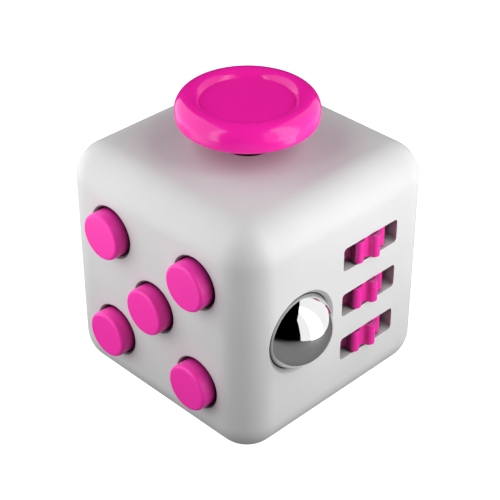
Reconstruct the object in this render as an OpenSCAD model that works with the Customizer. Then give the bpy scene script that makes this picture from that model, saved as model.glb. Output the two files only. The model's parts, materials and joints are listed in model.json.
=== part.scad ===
// Fidget cube: a 33 mm pocket toy with a joystick, five push buttons, a rolling ball, three toothed
// wheels, a spinning dial, a rocker switch and a thumb rest.
// Units are millimetres. The origin is the centre of the bottom face's plane, +Z is up through the
// joystick, -Y is the button face and +X is the face with the ball and the wheels.
// Every mechanism is drawn in the frame of its own face: z = 0 is the outer surface, +z points out.

/* [Body] */
// Width of the cube across opposite faces
cube_size = 33; // [32.9:0.05:33.2]
// Radius of the cube's rounded edges and corners
edge_r = 4.7; // [4.5:0.1:4.8]
// Thickness of the shells' walls
wall = 2; // [1.95:0.05:2.05]
// Width of the chamfer round the mouth of each opening
mouth_chamfer = 0.25; // [0.1:0.05:0.3]

/* [Joystick] */
// Radius of the cap
joy_cap_r = 8.95; // [8.7:0.05:9.1]
// Height of the cap's top above the top face
joy_top = 6.65; // [6.4:0.05:6.7]
// Height of the cap's underside above the top face
joy_lift = 3.25; // [3:0.05:3.4]
// Radius of the rounding from the cap's crest to its outer wall
joy_rim_r = 1.8; // [1.6:0.05:1.9]
// Radius of the rounded lower edge of the cap
joy_lower_edge_r = 0.8; // [0.6:0.05:0.9]
// Radius of the flat floor of the thumb recess
joy_floor_r = 5.85; // [5.6:0.05:5.95]
// Depth of the thumb recess below the crest
joy_recess_depth = 0.8; // [0.6:0.05:0.85]
// Radius of the hole the stick comes out of
joy_hole_r = 3.15; // [3.1:0.05:3.3]
// Depth of the tilting centre below the top face
joy_pivot_depth = 4.3; // [4.25:0.05:4.35]

/* [Buttons] */
// Distance between neighbouring corner buttons
button_pitch = 15; // [14.9:0.05:15.1]
// Shift of the button group from the face's centre, along +X
button_shift = 0.3; // [0.2:0.05:0.35]
// Radius of a button
button_r = 3.1; // [3.1:0.02:3.26]
// Height of a button above the face
button_height = 1.85; // [1.5:0.05:2]
// Radius of the rounded edge round a button's front
button_edge_r = 0.4; // [0.35:0.05:0.7]
// Gap between a button and its hole
button_gap = 0.25; // [0.15:0.05:0.3]

/* [Ball] */
// Radius of the ball
ball_r = 5.2; // [5.15:0.01:5.22]
// Depth of the ball's centre below the face
ball_depth = 1.9; // [1.85:0.05:1.95]
// Distance of the ball from the middle of the face, along -Y
ball_offset = 7.2; // [7.15:0.05:7.25]
// Radius of the countersink round the ball, at the face
ball_rim_r = 5.6; // [5.5:0.05:5.65]

/* [Gears] */
// Number of teeth on each wheel
gear_teeth = 9; // [9:1:9]
// Radius over the teeth
gear_r = 4.37; // [4.3:0.01:4.4]
// Thickness of a wheel
gear_height = 3.05; // [2.9:0.05:3.05]
// Distance from one wheel to the next
gear_pitch = 6.8; // [6.8:0.05:6.85]
// Distance of the wheels' axle from the middle of the face, along +Y
gear_offset = 4.83; // [4.8:0.01:4.86]
// Depth of the axle below the face
gear_depth = 3.51; // [3.48:0.01:3.55]
// Length of each window
window_length = 9.72; // [9.6:0.02:9.8]
// Height of each window
window_height = 3.35; // [3.3:0.05:3.4]
// Radius of the windows' corners, which the rocker's window shares
window_corner_r = 0.5; // [0.4:0.05:0.5]

/* [Dial] */
// Radius of the dial
dial_r = 9; // [8.5:0.1:9.5]
// Height of the dial's front above the face
dial_height = 2; // [1.8:0.1:2.2]

/* [Rocker] */
// Radius of the rocker's ends about its pivot
rocker_r = 6.5; // [6.4:0.05:6.55]
// Width of the rocker along its pivot
rocker_width = 8; // [7.6:0.1:8.1]
// Angle between the middle and each of its two positions
rocker_tilt = 10; // [9:0.5:10]

/* [Hidden] */
$fn = 64;
half = cube_size / 2;
inner_size = cube_size - 2 * wall;
inner_r = edge_r - wall;
// direction in which the front shell comes off: half-way between its three faces
split_axis = [1, -1, 1];
split_tilt = acos(1 / sqrt(3));

// pegs that locate the two shells on each other
peg_corner = half - edge_r;
peg_boss_r = 1.8;
peg_r = 1;
peg_length = 2.6;
peg_gap = 0.05;

// small screws and the bosses they go into
screw_r = 0.6;
screw_head_r = 1.1;
screw_head_height = 0.8;
screw_bite = 2.3;
boss_r = 1.5;
boss_height = 2.4;
plate_thickness = 1;
plate_z = -wall - boss_height;

// joystick
joy_crest_r = joy_cap_r - joy_rim_r;
joy_floor = joy_top - joy_recess_depth;
stick_r = 1.6;
stick_top = joy_lift + 1.6;
stick_waist_r = 1.4;
stick_foot_r = 2.4;
stick_foot_z = -9;
cross_pin_r = 0.6;
ring_r = 4.9;
ring_bore_r = 3.3;
ring_half_height = 1;
trunnion_r = 0.8;
trunnion_reach = 6.3;
pivot_gap = 0.05;
housing_bore_r = 5.6;
housing_wall = 0.8;
housing_step_z = -6.5;
spring_cup_r = 3.9;
spring_floor_z = -12.2;
housing_ear_r = 8.3;
coil_r = 1.9;
coil_wire_r = 0.25;
coil_turns = 4;

// buttons
button_hole_r = button_r + button_gap;
button_flange_r = 3.8;
button_flange_z = -wall - 0.1;
button_flange_thickness = 0.8;
button_back_z = button_flange_z - button_flange_thickness;
button_post_r = 0.8;
contact_gap = 0.05;
click_dome_height = 0.6;
click_dome_r = 2.2;
dome_sheet = 0.15;
pad_r = 2.2;
pad_top_r = 1.3;
button_plate_half = 10.9;
button_plate_corner_r = 3;
button_spots = [[-1, 1], [1, 1], [0, 0], [-1, -1], [1, -1]];
button_screw_spots = [[button_shift, 9.7], [button_shift, -9.7], [-9.5, 0]];

// ball
ball_seat_r = ball_r + 0.1;
ball_lip_depth = 0.4;
carrier_r = 5.5;
carrier_seat_gap = 0.05;
carrier_front_z = -4.2;
carrier_back_z = -8.1;
plunger_r = 1.2;
plunger_length = 0.5;
ball_housing_r = 6.3;
ball_housing_bore_r = 5.65;
ball_dome_height = 1;
ball_dome_r = 2.6;
ball_floor_z = carrier_back_z - plunger_length - contact_gap - ball_dome_height;
ball_floor = 0.9;
ball_ear_reach = 8.1;

// toothed wheels
crest_r = 0.7;
valley_r = 0.62;
valley_centre = 4;
gear_web_r = 3.75;
gear_phase = 9.2;
gear_pin_r = 0.75;
gear_bore_r = gear_pin_r + pivot_gap;
gear_x = half - gear_depth;
gear_rows = [-1, 0, 1];
gear_side_gap = 0.325;
bracket_half_width = 2.2;
bracket_back = 5.9;
bracket_end_thickness = 1.3;
bracket_screw_reach = 11.6;
bracket_top = gear_pitch + gear_height / 2 + gear_side_gap + bracket_end_thickness;

// dial
dial_gap = 0.25;
dial_hub_r = 2.4;
dial_hub_end = -wall - 0.3;
dial_edge_r = 0.6;
dial_notches = 24;
dial_notch_r = 0.35;
dial_dimple_r = 2.6;
dial_dimple_depth = 0.9;
dial_dimple_offset = 5.2;
dial_washer_r = 4;
dial_washer_thickness = 0.6;
dial_screw_r = 0.9;
dial_screw_head_r = 1.7;

// rocker
rocker_pivot_z = -3;
rocker_pin_r = 0.8;
rocker_gap = 0.2;
rocker_middle_z = 0.2;
tail_depth = 3.05;
tail_half_width = 1.8;
leaf_thickness = 0.3;
leaf_z = rocker_pivot_z - tail_depth - contact_gap;
leaf_half_width = 1.3;
leaf_half_length = 10.3;
leaf_screw_x = 8.6;
lug_inner = 4.5;
lug_outer = 6;
lug_half_width = 1.8;
lug_end_z = -4.6;

// thumb rest in the bottom face
rest_r = 9;
rest_depth = 1.5;
rest_pad_r = 10.5;
rest_sphere_r = (rest_r * rest_r + rest_depth * rest_depth) / (2 * rest_depth);

shell_grey = [0.86, 0.86, 0.87];
pink = [0.86, 0.05, 0.4];
deep_pink = [0.62, 0.02, 0.3];
steel = [0.75, 0.76, 0.78];
dark_grey = [0.2, 0.2, 0.21];
clear_rubber = [0.8, 0.8, 0.75];

// ---- frames of the faces ----

module from_centre() {
    translate([0, 0, half]) children();
}

module top_face() {
    from_centre() translate([0, 0, half]) children();
}

// local x is +X, local y is +Z
module button_face() {
    from_centre() translate([0, -half, 0]) rotate([90, 0, 0]) children();
}

// local x is +Y, local y is +Z
module ball_face() {
    from_centre() translate([half, 0, 0]) rotate([90, 0, 90]) children();
}

// local x is -Y, local y is +Z
module dial_face() {
    from_centre() translate([-half, 0, 0]) rotate([90, 0, -90]) children();
}

// local x is -X, local y is +Z
module rocker_face() {
    from_centre() translate([0, half, 0]) rotate([90, 0, 180]) children();
}

// ---- shared shapes ----

module quarter_rod(r, length) {
    intersection() {
        cylinder(r = r, h = length);
        cube([r, r, length]);
    }
}

module corner_ball(r) {
    intersection() {
        sphere(r = r);
        cube(r);
    }
}

// cube with rounded edges and corners, made of blocks that meet face to face
module rounded_cube(size, r) {
    core = size - 2 * r;
    cube([size, core, core], center = true);
    cube([core, size, core], center = true);
    cube([core, core, size], center = true);
    for (turn = [0:90:270])
        rotate([0, 0, turn]) {
            translate([core / 2, core / 2, -core / 2]) quarter_rod(r, core);
            for (side = [0, 1])
                mirror([0, 0, side]) {
                    translate([-core / 2, core / 2, core / 2]) rotate([90, 0, 90]) quarter_rod(r, core);
                    translate([core / 2, core / 2, core / 2]) corner_ball(r);
                }
        }
}

// the space between the cube's centre and its +Z face
module face_pyramid() {
    reach = cube_size;
    outline = [[0, 0], [reach, reach], [-reach, reach]];
    intersection() {
        rotate([90, 0, 0]) linear_extrude(2 * reach, center = true) polygon(outline);
        rotate([90, 0, 90]) linear_extrude(2 * reach, center = true) polygon(outline);
    }
}

// half of the hollow cube: the +Z, -Y and +X faces, or the three faces opposite them
module half_shell(front) {
    intersection() {
        difference() {
            rounded_cube(cube_size, edge_r);
            rounded_cube(inner_size, inner_r);
        }
        mirror([front ? 0 : 1, 0, 0]) mirror([0, front ? 0 : 1, 0]) mirror([0, 0, front ? 0 : 1])
            union() {
                face_pyramid();
                rotate([90, 0, 0]) face_pyramid();
                rotate([0, 90, 0]) face_pyramid();
            }
    }
}

// repeats a shape at the three corners where pegs join the shells, with z along the split axis
module at_pegs() {
    for (turn = [0:120:240])
        rotate(a = turn, v = split_axis)
            translate([-peg_corner, -peg_corner, peg_corner]) rotate([0, split_tilt, -45]) children();
}

// part of a peg's boss that lies in the cavity or in the inner half of the wall
module peg_bosses(start, length) {
    intersection() {
        at_pegs() translate([0, 0, start]) cylinder(r = peg_boss_r, h = length);
        rounded_cube(cube_size - wall, edge_r - wall / 2);
    }
}

// hollow post on the inside of a wall, for a screw that comes from inside
module screw_boss(height) {
    difference() {
        translate([0, 0, -wall - height]) cylinder(r = boss_r, h = height + wall / 2);
        translate([0, 0, -wall - height - 1]) cylinder(r = screw_r, h = screw_bite + 1);
    }
}

// cross-head screw along +z, whose head bears on the back of a plate at the given height
module screw(plate_back, thickness) {
    slot = 0.3;
    slot_length = 1.4;
    slot_depth = 0.4;
    translate([0, 0, plate_back]) {
        difference() {
            translate([0, 0, -screw_head_height]) cylinder(r = screw_head_r, h = screw_head_height);
            for (turn = [0, 90])
                rotate(turn) translate([0, 0, -screw_head_height])
                    cube([slot_length, slot, 2 * slot_depth], center = true);
        }
        cylinder(r = screw_r, h = thickness + screw_bite);
    }
}

// cone frustum that breaks the edge of a round hole at the outer surface
module round_mouth(r) {
    translate([0, 0, -mouth_chamfer])
        cylinder(r1 = r, r2 = r + 2 * mouth_chamfer, h = 2 * mouth_chamfer);
}

// thin domed disc of pressed steel, standing on z = 0
module snap_dome(base_r, height) {
    dome_r = (base_r * base_r + height * height) / (2 * height);
    rotate_extrude()
        intersection() {
            translate([0, height - dome_r])
                difference() {
                    circle(dome_r);
                    circle(dome_r - dome_sheet);
                }
            square([base_r, height]);
        }
}

// rectangular hole with small rounded corners, cut right through the wall
module window(length, height, corner) {
    translate([0, 0, -wall - 1])
        linear_extrude(wall + 2) {
            square([length - 2 * corner, height], center = true);
            square([length, height - 2 * corner], center = true);
            for (x = [-1, 1], y = [-1, 1])
                translate([x * (length / 2 - corner), y * (height / 2 - corner)]) circle(corner);
        }
}

// ---- shells ----

module joystick_hole() {
    translate([0, 0, -wall - 1]) cylinder(r = joy_hole_r, h = wall + 2);
    round_mouth(joy_hole_r);
}

module button_hole() {
    translate([0, 0, -wall - 1]) cylinder(r = button_hole_r, h = wall + 2);
    round_mouth(button_hole_r);
}

// the ball's opening: countersink, spherical seat and straight bore, from the outside in
module ball_hole() {
    lip_r = sqrt(pow(ball_seat_r, 2) - pow(ball_depth - ball_lip_depth, 2));
    translate([0, 0, -ball_lip_depth])
        cylinder(r1 = lip_r, r2 = 2 * ball_rim_r - lip_r, h = 2 * ball_lip_depth);
    translate([0, 0, -ball_depth]) sphere(r = ball_seat_r);
    translate([0, 0, -wall - 1]) cylinder(r = ball_seat_r, h = wall + 1 - ball_depth);
}

module front_shell() {
    color(shell_grey) {
        difference() {
            from_centre()
                difference() {
                    union() {
                        half_shell(true);
                        peg_bosses(peg_gap, 7);
                    }
                    at_pegs() cylinder(r = peg_r + peg_gap, h = peg_length + 0.4);
                }
            top_face() joystick_hole();
            button_face() at_buttons() button_hole();
            ball_face() {
                translate([-ball_offset, 0, 0]) ball_hole();
                for (row = gear_rows)
                    translate([gear_offset, row * gear_pitch, 0])
                        window(window_length, window_height, window_corner_r);
            }
        }
        top_face() at_joystick_ears() screw_boss(boss_height);
        button_face()
            for (spot = button_screw_spots)
                translate(spot) screw_boss(boss_height);
        ball_face() {
            at_ball_ears() screw_boss(boss_height);
            at_bracket_ears() screw_boss(boss_height);
        }
    }
}

module rear_shell() {
    color(shell_grey) {
        difference() {
            union() {
                from_centre() {
                    half_shell(false);
                    peg_bosses(-7, 7 - peg_gap);
                    at_pegs() translate([0, 0, -1]) cylinder(r = peg_r, h = peg_length + 1);
                }
                translate([0, 0, wall / 2]) cylinder(r = rest_pad_r, h = wall / 2 + rest_depth);
                rocker_face() rocker_lugs();
            }
            translate([0, 0, rest_depth - rest_sphere_r]) sphere(r = rest_sphere_r, $fn = 180);
            dial_face()
                translate([0, 0, -wall - 1]) cylinder(r = dial_hub_r + pivot_gap, h = wall + 2);
            rocker_face() {
                window(2 * (rocker_r + rocker_gap), rocker_width + 2 * rocker_gap, window_corner_r);
                rocker_pivot() cylinder(r = rocker_pin_r, h = 2 * cube_size / 3, center = true);
            }
        }
        rocker_face() at_leaf_screws() screw_boss(-leaf_z - wall);
    }
}

// ---- joystick ----

module at_joystick_ears() {
    for (turn = [90, 210, 330])
        rotate(turn) translate([housing_ear_r, 0, 0]) children();
}

// round pad with a rounded outer rim and a flat-floored thumb recess that rises gently to the crest
module joystick_cap() {
    lip_width = joy_crest_r - joy_floor_r;
    lip_r = (pow(lip_width, 2) + pow(joy_recess_depth, 2)) / (2 * joy_recess_depth);
    wall_low = joy_lift + joy_lower_edge_r;
    wall_high = joy_top - joy_rim_r;
    color(pink)
        top_face()
            difference() {
                rotate_extrude($fn = 96) {
                    translate([0, joy_lift]) square([joy_cap_r - joy_lower_edge_r, joy_lower_edge_r]);
                    translate([joy_cap_r - joy_lower_edge_r, wall_low])
                        intersection() {
                            circle(joy_lower_edge_r);
                            translate([0, -joy_lower_edge_r]) square(joy_lower_edge_r);
                        }
                    translate([0, wall_low]) square([joy_cap_r, wall_high - wall_low]);
                    translate([0, wall_high]) square([joy_crest_r, joy_floor - wall_high]);
                    translate([joy_crest_r, wall_high])
                        intersection() {
                            circle(joy_rim_r);
                            square(joy_rim_r);
                        }
                    intersection() {
                        translate([joy_crest_r, joy_top - lip_r]) circle(lip_r);
                        translate([joy_floor_r, joy_floor]) square([lip_width, joy_recess_depth]);
                    }
                }
                translate([0, 0, joy_lift - 1]) cylinder(r = stick_r, h = stick_top - joy_lift + 1);
            }
}

// stick with a flat foot, turning about Y on the cross pin
module joystick_stick() {
    waist_z = -joy_pivot_depth - stick_r;
    foot_thickness = 0.8;
    color(dark_grey)
        top_face()
            difference() {
                union() {
                    translate([0, 0, waist_z]) cylinder(r = stick_r, h = stick_top - waist_z);
                    translate([0, 0, stick_foot_z]) cylinder(r = stick_waist_r, h = waist_z - stick_foot_z);
                    translate([0, 0, stick_foot_z]) cylinder(r = stick_foot_r, h = foot_thickness);
                }
                translate([0, 0, -joy_pivot_depth]) rotate([90, 0, 0])
                    cylinder(r = cross_pin_r + pivot_gap, h = 4 * stick_r, center = true);
            }
}

module joystick_cross_pin() {
    color(steel)
        top_face() translate([0, 0, -joy_pivot_depth]) rotate([90, 0, 0])
            cylinder(r = cross_pin_r, h = 2 * ring_r - 0.4, center = true);
}

// ring that turns about X in the housing and carries the cross pin along Y
module joystick_gimbal_ring() {
    trunnion_start = ring_bore_r + 0.8;
    color(steel)
        top_face() translate([0, 0, -joy_pivot_depth]) {
            difference() {
                cylinder(r = ring_r, h = 2 * ring_half_height, center = true);
                cylinder(r = ring_bore_r, h = 4 * ring_half_height, center = true);
                rotate([90, 0, 0]) cylinder(r = cross_pin_r, h = 3 * ring_r, center = true);
            }
            for (side = [0, 180])
                rotate([0, 90, side]) translate([0, 0, trunnion_start])
                    cylinder(r = trunnion_r, h = trunnion_reach - trunnion_start);
        }
}

// can under the top face: bearings for the ring above, cup for the spring below, three ears
module joystick_housing() {
    can_r = housing_bore_r + housing_wall;
    cup_r = spring_cup_r + housing_wall;
    can_end = housing_step_z - housing_wall;
    cup_end = spring_floor_z - housing_wall;
    color(dark_grey)
        top_face()
            difference() {
                union() {
                    translate([0, 0, can_end]) cylinder(r = can_r, h = -wall - can_end);
                    translate([0, 0, cup_end]) cylinder(r = cup_r, h = can_end - cup_end);
                    at_joystick_ears() ear(housing_ear_r - housing_bore_r - housing_wall / 2);
                }
                translate([0, 0, housing_step_z]) cylinder(r = housing_bore_r, h = 10);
                translate([0, 0, spring_floor_z]) cylinder(r = spring_cup_r, h = 10);
                translate([0, 0, -joy_pivot_depth]) {
                    rotate([0, 90, 0])
                        cylinder(r = trunnion_r + pivot_gap, h = 3 * housing_bore_r, center = true);
                    translate([0, 0, joy_pivot_depth / 2])
                        cube([3 * housing_bore_r, 2 * (trunnion_r + pivot_gap), joy_pivot_depth],
                            center = true);
                }
            }
}

// screw ear at the origin, joined to a wall the given distance away along -x
module ear(reach) {
    translate([0, 0, plate_z - plate_thickness])
        difference() {
            union() {
                cylinder(r = boss_r, h = plate_thickness);
                translate([-reach, -boss_r, 0]) cube([reach, 2 * boss_r, plate_thickness]);
            }
            translate([0, 0, -1]) cylinder(r = screw_r, h = plate_thickness + 2);
        }
}

module joystick_screws() {
    color(steel) top_face() at_joystick_ears() screw(plate_z - plate_thickness, plate_thickness);
}

// round wire wound into a helix that stands on z = 0
module coil_spring(mean_r, wire_r, turns, height) {
    turn_steps = 20;
    sides = 8;
    steps = turns * turn_steps;
    rise = (height - 2 * wire_r) / steps;
    points = [for (i = [0:steps], j = [0:sides - 1])
        let (r = mean_r + wire_r * cos(j * 360 / sides), turn = i * 360 / turn_steps)
            [r * cos(turn), r * sin(turn), wire_r + i * rise + wire_r * sin(j * 360 / sides)]];
    near_sides = [for (i = [0:steps - 1], j = [0:sides - 1])
        [i * sides + j, (i + 1) * sides + j, i * sides + (j + 1) % sides]];
    far_sides = [for (i = [0:steps - 1], j = [0:sides - 1])
        [(i + 1) * sides + j, (i + 1) * sides + (j + 1) % sides, i * sides + (j + 1) % sides]];
    start_cap = [[for (j = [0:sides - 1]) j]];
    end_cap = [[for (j = [sides - 1:-1:0]) steps * sides + j]];
    polyhedron(points = points, faces = concat(near_sides, far_sides, start_cap, end_cap));
}

module joystick_spring() {
    color(steel)
        top_face() translate([0, 0, spring_floor_z])
            coil_spring(coil_r, coil_wire_r, coil_turns, stick_foot_z - spring_floor_z - contact_gap);
}

// ---- buttons ----

module at_button(spot) {
    translate([button_shift + spot[0] * button_pitch / 2, spot[1] * button_pitch / 2, 0]) children();
}

module at_buttons() {
    for (spot = button_spots) at_button(spot) children();
}

// push button with a rounded front edge and a flange that stops it behind the wall
module button_cap(spot, post_length) {
    color(pink)
        button_face() at_button(spot) {
            rotate_extrude() {
                translate([0, button_flange_z]) square([button_r, button_height - button_edge_r - button_flange_z]);
                translate([0, button_height - button_edge_r]) square([button_r - button_edge_r, button_edge_r]);
                translate([button_r - button_edge_r, button_height - button_edge_r])
                    intersection() {
                        circle(button_edge_r);
                        square(button_edge_r);
                    }
            }
            translate([0, 0, button_back_z]) cylinder(r = button_flange_r, h = button_flange_thickness);
            if (post_length > 0)
                translate([0, 0, button_back_z - post_length]) cylinder(r = button_post_r, h = post_length);
        }
}

// a clicking button presses its snap dome with a short post
module clicking_button(spot) {
    button_cap(spot, button_back_z - plate_z - click_dome_height - contact_gap);
}

module silent_button(spot) {
    button_cap(spot, 0);
}

module click_dome(spot) {
    color(steel)
        button_face() at_button(spot) translate([0, 0, plate_z]) snap_dome(click_dome_r, click_dome_height);
}

// soft rubber pad under a silent button
module silent_pad(spot) {
    base = 0.3;
    height = button_back_z - plate_z - contact_gap;
    color(clear_rubber)
        button_face() at_button(spot) translate([0, 0, plate_z]) {
            cylinder(r = pad_r, h = base);
            translate([0, 0, base]) cylinder(r1 = pad_r - 0.2, r2 = pad_top_r, h = height - base);
        }
}

// plate behind the buttons, notched where the ball's housing passes
module button_plate() {
    corner = button_plate_half - button_plate_corner_r;
    notch_x = half - ball_depth_to_back() - 0.5 - button_shift;
    notch_half_height = 5.15;
    color(dark_grey)
        button_face()
            difference() {
                translate([button_shift, 0, plate_z - plate_thickness])
                    linear_extrude(plate_thickness)
                        difference() {
                            union() {
                                square([2 * button_plate_half, 2 * corner], center = true);
                                square([2 * corner, 2 * button_plate_half], center = true);
                                for (x = [-corner, corner], y = [-corner, corner])
                                    translate([x, y]) circle(button_plate_corner_r);
                            }
                            translate([notch_x, -notch_half_height])
                                square([half, 2 * notch_half_height]);
                        }
                for (spot = button_screw_spots)
                    translate([spot[0], spot[1], plate_z - 2 * plate_thickness])
                        cylinder(r = screw_r, h = 3 * plate_thickness);
            }
}

// distance from the ball face to the back of the ball's housing
function ball_depth_to_back() = ball_floor - ball_floor_z;

module button_plate_screws() {
    color(steel)
        button_face()
            for (spot = button_screw_spots)
                translate(spot) screw(plate_z - plate_thickness, plate_thickness);
}

// ---- ball ----

module at_ball() {
    ball_face() translate([-ball_offset, 0, 0]) children();
}

// the two ears of the ball's housing, above and below the ball
module at_ball_ears() {
    for (turn = [90, 270])
        translate([-ball_offset, 0, 0]) rotate(turn) translate([ball_ear_reach, 0, 0]) children();
}

// the sphere's poles lie on the axis the ball rolls about, out of sight
module ball() {
    color(steel) at_ball() translate([0, 0, -ball_depth]) rotate([90, 0, 0]) sphere(r = ball_r, $fn = 96);
}

// cup that carries the ball and presses the dome behind it
module ball_carrier() {
    color(dark_grey)
        at_ball()
            difference() {
                union() {
                    translate([0, 0, carrier_back_z]) cylinder(r = carrier_r, h = carrier_front_z - carrier_back_z);
                    translate([0, 0, carrier_back_z - plunger_length]) cylinder(r = plunger_r, h = plunger_length);
                }
                translate([0, 0, -ball_depth]) sphere(r = ball_r + carrier_seat_gap);
            }
}

module ball_click_dome() {
    color(steel) at_ball() translate([0, 0, ball_floor_z]) snap_dome(ball_dome_r, ball_dome_height);
}

// can that guides the carrier, screwed to the wall by two ears and trimmed to the rounded cavity
module ball_housing() {
    back_z = ball_floor_z - ball_floor;
    color(dark_grey)
        difference() {
            union() {
                intersection() {
                    at_ball() translate([0, 0, back_z]) cylinder(r = ball_housing_r, h = -wall - back_z);
                    from_centre() rounded_cube(inner_size - 2 * contact_gap, inner_r - contact_gap);
                }
                ball_face() at_ball_ears() ear(ball_ear_reach - ball_housing_bore_r - 0.3);
            }
            at_ball() translate([0, 0, ball_floor_z]) cylinder(r = ball_housing_bore_r, h = half);
        }
}

module ball_housing_screws() {
    color(steel) ball_face() at_ball_ears() screw(plate_z - plate_thickness, plate_thickness);
}

// ---- toothed wheels ----

module at_gear_axle() {
    from_centre() translate([gear_x, gear_offset, 0]) children();
}

// wheel with rounded teeth and hollows, turning about Z
module gear(row) {
    tooth_step = 360 / gear_teeth;
    color(deep_pink)
        at_gear_axle() translate([0, 0, row * gear_pitch]) rotate(gear_phase)
            linear_extrude(gear_height, center = true)
                difference() {
                    union() {
                        difference() {
                            circle(gear_web_r);
                            for (tooth = [0:gear_teeth - 1])
                                rotate((tooth + 0.5) * tooth_step) translate([valley_centre, 0])
                                    circle(valley_r);
                        }
                        for (tooth = [0:gear_teeth - 1])
                            rotate(tooth * tooth_step) translate([gear_r - crest_r, 0]) circle(crest_r);
                    }
                    circle(gear_bore_r);
                }
}

module gear_pin() {
    color(steel)
        at_gear_axle() cylinder(r = gear_pin_r, h = 2 * bracket_top, center = true);
}

module at_bracket_ears() {
    for (turn = [90, 270])
        translate([gear_offset, 0, 0]) rotate(turn) translate([bracket_screw_reach, 0, 0]) children();
}

// comb-shaped bracket that holds the axle pin between and beyond the wheels
module gear_bracket() {
    front = gear_depth - wall - contact_gap;
    inner_start = gear_height / 2 + gear_side_gap;
    inner_end = gear_pitch - inner_start;
    outer_start = gear_pitch + inner_start;
    color(dark_grey) {
        at_gear_axle()
            difference() {
                union() {
                    translate([-bracket_back, -bracket_half_width, -bracket_top])
                        cube([plate_thickness, 2 * bracket_half_width, 2 * bracket_top]);
                    for (side = [0, 1])
                        mirror([0, 0, side]) {
                            translate([-bracket_back, -bracket_half_width, inner_start])
                                cube([bracket_back + front, 2 * bracket_half_width, inner_end - inner_start]);
                            translate([-bracket_back, -bracket_half_width, outer_start])
                                cube([bracket_back + front, 2 * bracket_half_width, bracket_end_thickness]);
                        }
                }
                cylinder(r = gear_pin_r, h = 3 * bracket_top, center = true);
            }
        ball_face() at_bracket_ears() ear(bracket_screw_reach - bracket_top + bracket_end_thickness / 2);
    }
}

module gear_bracket_screws() {
    color(steel) ball_face() at_bracket_ears() screw(plate_z - plate_thickness, plate_thickness);
}

// ---- dial ----

// disc with a notched edge, a finger dimple off the centre and a hub through the wall
module dial() {
    dimple_sphere_r = (pow(dial_dimple_r, 2) + pow(dial_dimple_depth, 2)) / (2 * dial_dimple_depth);
    color(pink)
        dial_face()
            difference() {
                union() {
                    rotate_extrude($fn = 96) {
                        translate([0, dial_gap]) square([dial_r, dial_height - dial_edge_r - dial_gap]);
                        translate([0, dial_height - dial_edge_r]) square([dial_r - dial_edge_r, dial_edge_r]);
                        translate([dial_r - dial_edge_r, dial_height - dial_edge_r])
                            intersection() {
                                circle(dial_edge_r);
                                square(dial_edge_r);
                            }
                    }
                    translate([0, 0, dial_hub_end]) cylinder(r = dial_hub_r, h = dial_gap - dial_hub_end + 0.5);
                }
                translate([dial_dimple_offset, 0, dial_height - dial_dimple_depth + dimple_sphere_r])
                    sphere(r = dimple_sphere_r);
                for (notch = [0:dial_notches - 1])
                    rotate(notch * 360 / dial_notches) translate([dial_r + 0.1, 0, 0])
                        cylinder(r = dial_notch_r, h = 2 * dial_height, center = true, $fn = 24);
                translate([0, 0, dial_hub_end - 1]) cylinder(r = dial_screw_r, h = dial_gap - dial_hub_end + 1);
            }
}

module dial_washer() {
    color(steel)
        dial_face() translate([0, 0, dial_hub_end - dial_washer_thickness])
            difference() {
                cylinder(r = dial_washer_r, h = dial_washer_thickness);
                translate([0, 0, -1]) cylinder(r = dial_screw_r, h = 3);
            }
}

module dial_screw() {
    head = 0.9;
    head_z = dial_hub_end - dial_washer_thickness - head;
    slot = 0.4;
    color(steel)
        dial_face()
            difference() {
                union() {
                    translate([0, 0, head_z]) cylinder(r = dial_screw_head_r, h = head);
                    translate([0, 0, head_z]) cylinder(r = dial_screw_r, h = dial_gap - head_z);
                }
                for (turn = [0, 90])
                    rotate(turn) translate([0, 0, head_z])
                        cube([1.3 * dial_screw_head_r, slot, 2 * slot], center = true);
            }
}

// ---- rocker ----

// frame of the rocker's pivot, with z along the pin
module rocker_pivot() {
    translate([0, 0, rocker_pivot_z]) rotate([90, 0, 0]) children();
}

// shallow V on top, wedge-shaped tail below, round ends about the pivot
module rocker() {
    top = rocker_middle_z - rocker_pivot_z;
    wing_rise = rocker_r * tan(rocker_tilt);
    tail_rise = tail_half_width * tan(rocker_tilt);
    belly = -0.6;
    color(pink)
        rocker_face() rocker_pivot() rotate(rocker_tilt)
            difference() {
                intersection() {
                    cylinder(r = rocker_r, h = rocker_width, center = true);
                    linear_extrude(rocker_width, center = true)
                        polygon([
                            [0, top],
                            [rocker_r, top + wing_rise],
                            [rocker_r, belly],
                            [tail_half_width + 0.6, 2 * belly],
                            [tail_half_width, tail_rise - tail_depth],
                            [0, -tail_depth],
                            [-tail_half_width, tail_rise - tail_depth],
                            [-tail_half_width - 0.6, 2 * belly],
                            [-rocker_r, belly],
                            [-rocker_r, top + wing_rise]
                        ]);
                }
                cylinder(r = rocker_pin_r + pivot_gap, h = 2 * rocker_width, center = true);
            }
}

module rocker_pin() {
    color(steel) rocker_face() rocker_pivot() cylinder(r = rocker_pin_r, h = 2 * lug_outer, center = true);
}

// two ears on the wall that hold the ends of the pin
module rocker_lugs() {
    for (side = [0, 1])
        mirror([0, side, 0]) translate([-lug_half_width, lug_inner, lug_end_z])
            cube([2 * lug_half_width, lug_outer - lug_inner, -wall / 2 - lug_end_z]);
}

module at_leaf_screws() {
    for (x = [-leaf_screw_x, leaf_screw_x]) translate([x, 0, 0]) children();
}

// flat spring that holds the rocker's tail in either position
module rocker_leaf_spring() {
    color(steel)
        rocker_face() translate([0, 0, leaf_z - leaf_thickness])
            difference() {
                translate([-leaf_half_length, -leaf_half_width, 0])
                    cube([2 * leaf_half_length, 2 * leaf_half_width, leaf_thickness]);
                at_leaf_screws() translate([0, 0, -1]) cylinder(r = screw_r, h = 3);
            }
}

module rocker_leaf_screws() {
    color(steel) rocker_face() at_leaf_screws() screw(leaf_z - leaf_thickness, leaf_thickness);
}

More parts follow.
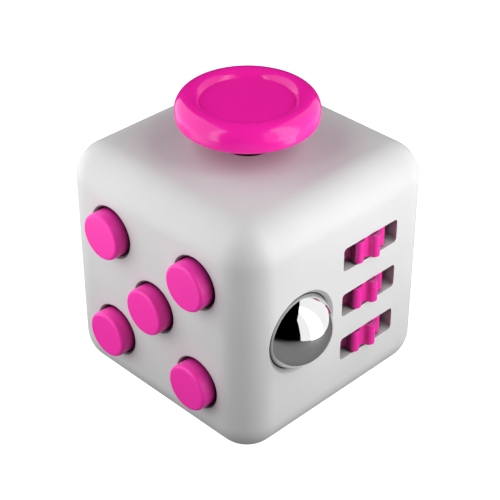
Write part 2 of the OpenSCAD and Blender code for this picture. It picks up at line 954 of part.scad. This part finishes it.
front_shell();
rear_shell();
joystick_cap();
joystick_stick();
joystick_cross_pin();
joystick_gimbal_ring();
joystick_housing();
joystick_spring();
joystick_screws();
clicking_button([-1, 1]);  // button_upper_left
silent_button([1, 1]);  // button_upper_right
clicking_button([0, 0]);  // button_middle
silent_button([-1, -1]);  // button_lower_left
clicking_button([1, -1]);  // button_lower_right
click_dome([-1, 1]);  // click_dome_upper_left
click_dome([0, 0]);  // click_dome_middle
click_dome([1, -1]);  // click_dome_lower_right
silent_pad([1, 1]);  // silent_pad_upper_right
silent_pad([-1, -1]);  // silent_pad_lower_left
button_plate();
button_plate_screws();
ball();
ball_carrier();
ball_click_dome();
ball_housing();
ball_housing_screws();
gear(1);  // gear_upper
gear(0);  // gear_middle
gear(-1);  // gear_lower
gear_pin();
gear_bracket();
gear_bracket_screws();
dial();
dial_washer();
dial_screw();
rocker();
rocker_pin();
rocker_leaf_spring();
rocker_leaf_screws();
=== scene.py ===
"""Fidget cube: looks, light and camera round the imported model. Metres, in the frame of the model."""

import json
import math

import bpy
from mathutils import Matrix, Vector


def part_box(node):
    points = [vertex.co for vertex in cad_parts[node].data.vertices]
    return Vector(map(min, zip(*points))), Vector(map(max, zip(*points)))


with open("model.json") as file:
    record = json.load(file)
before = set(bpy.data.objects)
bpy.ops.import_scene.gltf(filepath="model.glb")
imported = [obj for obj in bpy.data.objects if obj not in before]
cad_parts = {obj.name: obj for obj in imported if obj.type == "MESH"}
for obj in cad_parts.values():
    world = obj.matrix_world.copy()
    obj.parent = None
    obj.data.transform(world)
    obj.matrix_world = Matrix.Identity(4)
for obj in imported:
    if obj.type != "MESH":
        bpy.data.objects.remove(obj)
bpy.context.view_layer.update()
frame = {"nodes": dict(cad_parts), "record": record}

MM = 0.001

# ---- places taken from the frame ----

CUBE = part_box("front_shell")[1].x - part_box("rear_shell")[0].x
CENTRE = Vector((0, 0, CUBE / 2))

# ---- camera ----

CAMERA_AZIMUTH = 45.35
CAMERA_ELEVATION = 34.41
CAMERA_DISTANCE = 192 * MM
CAMERA_AIM = CENTRE + Vector((0.2, 0.2, 0.41)) * MM
CAMERA_LENS = 107
CAMERA_SENSOR = 36

# ---- floor and light walls ----

FLOOR_SIDE = 12.0
FLOOR_GAP = 0.02 * MM
FLOOR_MOTTLE = 50 * MM
WALL_DISTANCE = 60 * MM
WALL_HEIGHT = 160 * MM

# ---- sizes of the features in the moulded plastics ----

MOTTLE_SIZE = 9 * MM
WEAR_WIDTH = 0.35 * MM
WEAR_PATCH = 1.2 * MM
HANDLING_SIZE = 3 * MM
COAT_ROUGHNESS = 0.06

# ---- node helpers ----


def node(tree, kind, inputs=None, **settings):
    """Adds a shader node. An input is a number or colour, or the socket that feeds it."""
    made = tree.nodes.new(kind)
    for name, value in settings.items():
        setattr(made, name, value)
    for name, value in (inputs or {}).items():
        if isinstance(value, bpy.types.NodeSocket):
            tree.links.new(value, made.inputs[name])
        else:
            made.inputs[name].default_value = value
    return made


def new_material(name):
    """A material with its tree, its Principled shader and the object's own coordinates in metres."""
    material = bpy.data.materials.new(name)
    material.use_nodes = True
    tree = material.node_tree
    shader = tree.nodes["Principled BSDF"]
    place = node(tree, "ShaderNodeTexCoord").outputs["Object"]
    return material, tree, shader, place


def noise(tree, place, size, detail=2.0, roughness=0.5):
    """Noise whose features are about the given size in metres, from 0 to 1."""
    made = node(tree, "ShaderNodeTexNoise", {
        "Vector": place,
        "Scale": 1 / size,
        "Detail": detail,
        "Roughness": roughness,
    })
    return made.outputs["Fac"]


def spread(tree, value, low, high, start=0.3, end=0.7):
    """Maps a noise value onto a range."""
    made = node(tree, "ShaderNodeMapRange", {
        "Value": value,
        "From Min": start,
        "From Max": end,
        "To Min": low,
        "To Max": high,
    })
    return made.outputs["Result"]


def mix_colour(tree, factor, first, second):
    """Mixes two colours. Sockets 0, 6 and 7 of the node are its factor and its two colours."""
    made = node(tree, "ShaderNodeMix", data_type="RGBA")
    for socket, value in ((made.inputs[0], factor), (made.inputs[6], first), (made.inputs[7], second)):
        if isinstance(value, bpy.types.NodeSocket):
            tree.links.new(value, socket)
        else:
            socket.default_value = value
    return made.outputs[2]


def bump(tree, height, depth):
    """Bump whose full height is the given depth in metres."""
    return node(tree, "ShaderNodeBump", {"Height": height, "Distance": depth}).outputs["Normal"]


def edge_mask(tree, radius):
    """About 1 on sharp outer edges and 0 on flats: how far a rounded normal leaves the true one."""
    rounded = node(tree, "ShaderNodeBevel", {"Radius": radius}, samples=4).outputs["Normal"]
    true_normal = node(tree, "ShaderNodeNewGeometry").outputs["Normal"]
    alike = node(tree, "ShaderNodeVectorMath", {0: rounded, 1: true_normal}, operation="DOT_PRODUCT")
    return spread(tree, alike.outputs["Value"], 1.0, 0.0, start=0.9, end=0.995)


def painted_shade_mask(tree, reach):
    """About 1 deep in gaps and slots and 0 on open faces: ambient occlusion as the mask for painted shade.
    """
    open_sky = node(tree, "ShaderNodeAmbientOcclusion", {"Distance": reach}, samples=8).outputs["AO"]
    return spread(tree, open_sky, 1.0, 0.0, start=0.3, end=0.8)


def rgba(red, green, blue):
    """Opaque colour."""
    return (red, green, blue, 1.0)


# ---- materials ----


def moulded_plastic(
    name, colour, shade, worn, painted_shade, reach, rough, grain_size, grain_depth, coat=0.0, specular=0.5
):
    """Moulded plastic: mottled colour, fine grain, uneven gloss, paler worn edges, and painted shade that
    darkens gaps and slots.
    """
    material, tree, shader, place = new_material(name)
    mottle = spread(tree, noise(tree, place, MOTTLE_SIZE, detail=3), 0, 1)
    body = mix_colour(tree, mottle, colour, shade)
    wear = node(tree, "ShaderNodeMath", {
        0: edge_mask(tree, WEAR_WIDTH),
        1: spread(tree, noise(tree, place, WEAR_PATCH, detail=4), 0.0, 0.7),
    }, operation="MULTIPLY").outputs[0]
    rubbed = mix_colour(tree, wear, body, worn)
    # Painted shade: the colour turns to the given dark colour in gaps, slots and recesses, where shade
    # falls.
    with_painted_shade = mix_colour(tree, painted_shade_mask(tree, reach), rubbed, painted_shade)
    tree.links.new(with_painted_shade, shader.inputs["Base Color"])
    handled = noise(tree, place, HANDLING_SIZE, detail=4, roughness=0.6)
    tree.links.new(spread(tree, handled, rough - 0.05, rough + 0.06), shader.inputs["Roughness"])
    grain = noise(tree, place, grain_size, detail=3, roughness=0.6)
    tree.links.new(bump(tree, grain, grain_depth), shader.inputs["Normal"])
    shader.inputs["Coat Weight"].default_value = coat
    shader.inputs["Coat Roughness"].default_value = COAT_ROUGHNESS
    shader.inputs["Specular IOR Level"].default_value = specular
    return material


def polished_steel():
    """Mirror-bright ball steel with faint handling haze and hairline marks."""
    material, tree, shader, place = new_material("polished_steel")
    haze = noise(tree, place, 2.5 * MM, detail=5, roughness=0.65)
    tree.links.new(spread(tree, haze, 0.02, 0.07), shader.inputs["Roughness"])
    tint = mix_colour(tree, spread(tree, haze, 0, 1), rgba(0.73, 0.735, 0.74), rgba(0.7, 0.7, 0.705))
    tree.links.new(tint, shader.inputs["Base Color"])
    marks = noise(tree, place, 0.12 * MM, detail=2)
    tree.links.new(bump(tree, marks, 0.0006 * MM), shader.inputs["Normal"])
    shader.inputs["Metallic"].default_value = 1.0
    return material


def plain_steel():
    """Zinc-plated or rolled steel of the screws, pins and springs."""
    material, tree, shader, place = new_material("plain_steel")
    cloud = noise(tree, place, 1.5 * MM, detail=4)
    tint = mix_colour(tree, spread(tree, cloud, 0, 1), rgba(0.62, 0.63, 0.65), rgba(0.5, 0.5, 0.52))
    tree.links.new(tint, shader.inputs["Base Color"])
    tree.links.new(spread(tree, cloud, 0.22, 0.4), shader.inputs["Roughness"])
    tree.links.new(bump(tree, noise(tree, place, 0.1 * MM), 0.004 * MM), shader.inputs["Normal"])
    shader.inputs["Metallic"].default_value = 1.0
    return material


def silicone():
    """Cloudy translucent rubber."""
    material, tree, shader, place = new_material("silicone")
    cloud = noise(tree, place, 1 * MM, detail=3)
    tint = mix_colour(tree, spread(tree, cloud, 0, 1), rgba(0.78, 0.78, 0.74), rgba(0.68, 0.68, 0.64))
    tree.links.new(tint, shader.inputs["Base Color"])
    tree.links.new(spread(tree, cloud, 0.4, 0.55), shader.inputs["Roughness"])
    shader.inputs["Subsurface Weight"].default_value = 0.4
    shader.inputs["Subsurface Radius"].default_value = (MM, MM, MM)
    return material


# The darkest colour given for each plastic is painted shade for its gaps, slots and recesses.
SHELL = moulded_plastic(
    "shell_plastic", rgba(0.62, 0.62, 0.625), rgba(0.59, 0.59, 0.595), rgba(0.69, 0.69, 0.69),
    painted_shade=rgba(0.13, 0.13, 0.13), reach=2 * MM,
    rough=0.5, grain_size=0.16 * MM, grain_depth=0.006 * MM,
)
CAP = moulded_plastic(
    "cap_gloss", rgba(0.9, 0.016, 0.38), rgba(0.86, 0.014, 0.355), rgba(0.92, 0.025, 0.4),
    painted_shade=rgba(0.4, 0.006, 0.15), reach=2 * MM,
    rough=0.14, grain_size=1.2 * MM, grain_depth=0.0006 * MM, specular=0.32,
)
BUTTON = moulded_plastic(
    "button_plastic", rgba(0.94, 0.022, 0.42), rgba(0.9, 0.02, 0.39), rgba(0.96, 0.1, 0.5),
    painted_shade=rgba(0.25, 0.006, 0.1), reach=2 * MM,
    rough=0.42, grain_size=0.14 * MM, grain_depth=0.004 * MM, specular=0.4,
)
GEAR = moulded_plastic(
    "gear_plastic", rgba(0.85, 0.016, 0.36), rgba(0.8, 0.014, 0.33), rgba(0.9, 0.07, 0.43),
    painted_shade=rgba(0.2, 0.004, 0.08), reach=4 * MM,
    rough=0.25, grain_size=0.3 * MM, grain_depth=0.001 * MM, coat=0.3,
)
INNER = moulded_plastic(
    "inner_plastic", rgba(0.045, 0.045, 0.047), rgba(0.035, 0.035, 0.037), rgba(0.09, 0.09, 0.09),
    painted_shade=rgba(0.02, 0.02, 0.02), reach=2 * MM,
    rough=0.5, grain_size=0.2 * MM, grain_depth=0.008 * MM,
)

SLOT_MATERIALS = {
    "shell_plastic": SHELL,
    "cap_gloss": CAP,
    "button_plastic": BUTTON,
    "gear_plastic": GEAR,
    "inner_plastic": INNER,
    "polished_steel": polished_steel(),
    "plain_steel": plain_steel(),
    "silicone": silicone(),
}


def dress_nodes():
    """Gives every CAD node the material of its slot in the record."""
    for part in frame["record"]["subparts"]:
        mesh = frame["nodes"][part["node"]].data
        mesh.materials.clear()
        mesh.materials.append(SLOT_MATERIALS[part["material_slot"]])


# ---- studio ----


def ground(name, tone, dark_tone, glow):
    """Large plain matt plane just under the cube."""
    bpy.ops.mesh.primitive_plane_add(size=FLOOR_SIDE, location=(0, 0, -FLOOR_GAP))
    plane = bpy.context.object
    plane.name = name
    material, tree, shader, place = new_material(name)
    mottle = spread(tree, noise(tree, place, FLOOR_MOTTLE), 0, 1)
    tree.links.new(mix_colour(tree, mottle, tone, dark_tone), shader.inputs["Base Color"])
    shader.inputs["Roughness"].default_value = 0.9
    shader.inputs["Specular IOR Level"].default_value = 0.1
    shader.inputs["Emission Color"].default_value = rgba(1, 1, 1)
    shader.inputs["Emission Strength"].default_value = glow
    plane.data.materials.append(material)
    return plane


def floor():
    """Pale paper for the camera, and in its place a dark table top for reflections and bounced light."""
    paper = ground("floor", rgba(0.9, 0.9, 0.9), rgba(0.88, 0.88, 0.88), glow=1.0)
    paper.visible_diffuse = False
    paper.visible_glossy = False
    paper.visible_shadow = False
    table = ground("table", rgba(0.23, 0.23, 0.23), rgba(0.21, 0.21, 0.21), glow=0.0)
    table.visible_camera = False
    table.visible_shadow = False


def direction(azimuth, elevation):
    """Unit vector from the object towards a place seen at that azimuth, in the camera's convention."""
    turn = math.radians(azimuth)
    rise = math.radians(elevation)
    return Vector((math.sin(turn) * math.cos(rise), -math.cos(turn) * math.cos(rise), math.sin(rise)))


def light_wall(name, side, start, end, radiance):
    """Upright even panel beside the cube, between two azimuths counted from the camera's.

    A flat panel of even radiance sends out pi * area * radiance.
    """
    outward = direction(CAMERA_AZIMUTH + side, 0)
    along = direction(CAMERA_AZIMUTH + side + 90, 0)
    first = WALL_DISTANCE * math.tan(math.radians(start - side))
    last = WALL_DISTANCE * math.tan(math.radians(end - side))
    data = bpy.data.lights.new(name, "AREA")
    data.shape = "RECTANGLE"
    data.size = last - first
    data.size_y = WALL_HEIGHT
    data.energy = math.pi * data.size * data.size_y * radiance
    light = bpy.data.objects.new(name, data)
    middle = Vector((0, 0, WALL_HEIGHT / 2))
    light.location = outward * WALL_DISTANCE + along * (first + last) / 2 + middle
    light.rotation_euler = outward.to_track_quat("Z", "Y").to_euler()
    light.visible_camera = False
    bpy.context.scene.collection.objects.link(light)


def studio():
    """Light tent, dark in front and behind: dim panels on each side, with a bright strip near the front."""
    light_wall("wall_right_edge", 90, 24, 45, 1.2)
    light_wall("wall_right_front", 90, 45, 75, 4.0)
    light_wall("wall_right_back", 90, 75, 145, 1.2)
    light_wall("wall_left_edge", -90, -54, -42, 4.2)
    light_wall("wall_left_back", -90, -145, -54, 1.8)
    world = bpy.data.worlds.new("room")
    world.use_nodes = True
    world.node_tree.nodes["Background"].inputs["Strength"].default_value = 0.0
    bpy.context.scene.world = world
    bpy.context.scene.view_settings.view_transform = "Standard"


def camera():
    """Camera at the fitted angle and distance."""
    data = bpy.data.cameras.new("camera")
    data.lens = CAMERA_LENS
    data.sensor_width = CAMERA_SENSOR
    data.clip_start = 0.01
    data.clip_end = 20
    made = bpy.data.objects.new("camera", data)
    back = direction(CAMERA_AZIMUTH, CAMERA_ELEVATION)
    made.location = CAMERA_AIM + back * CAMERA_DISTANCE
    made.rotation_euler = (-back).to_track_quat("-Z", "Y").to_euler()
    bpy.context.scene.collection.objects.link(made)
    bpy.context.scene.camera = made


dress_nodes()
floor()
studio()
camera()
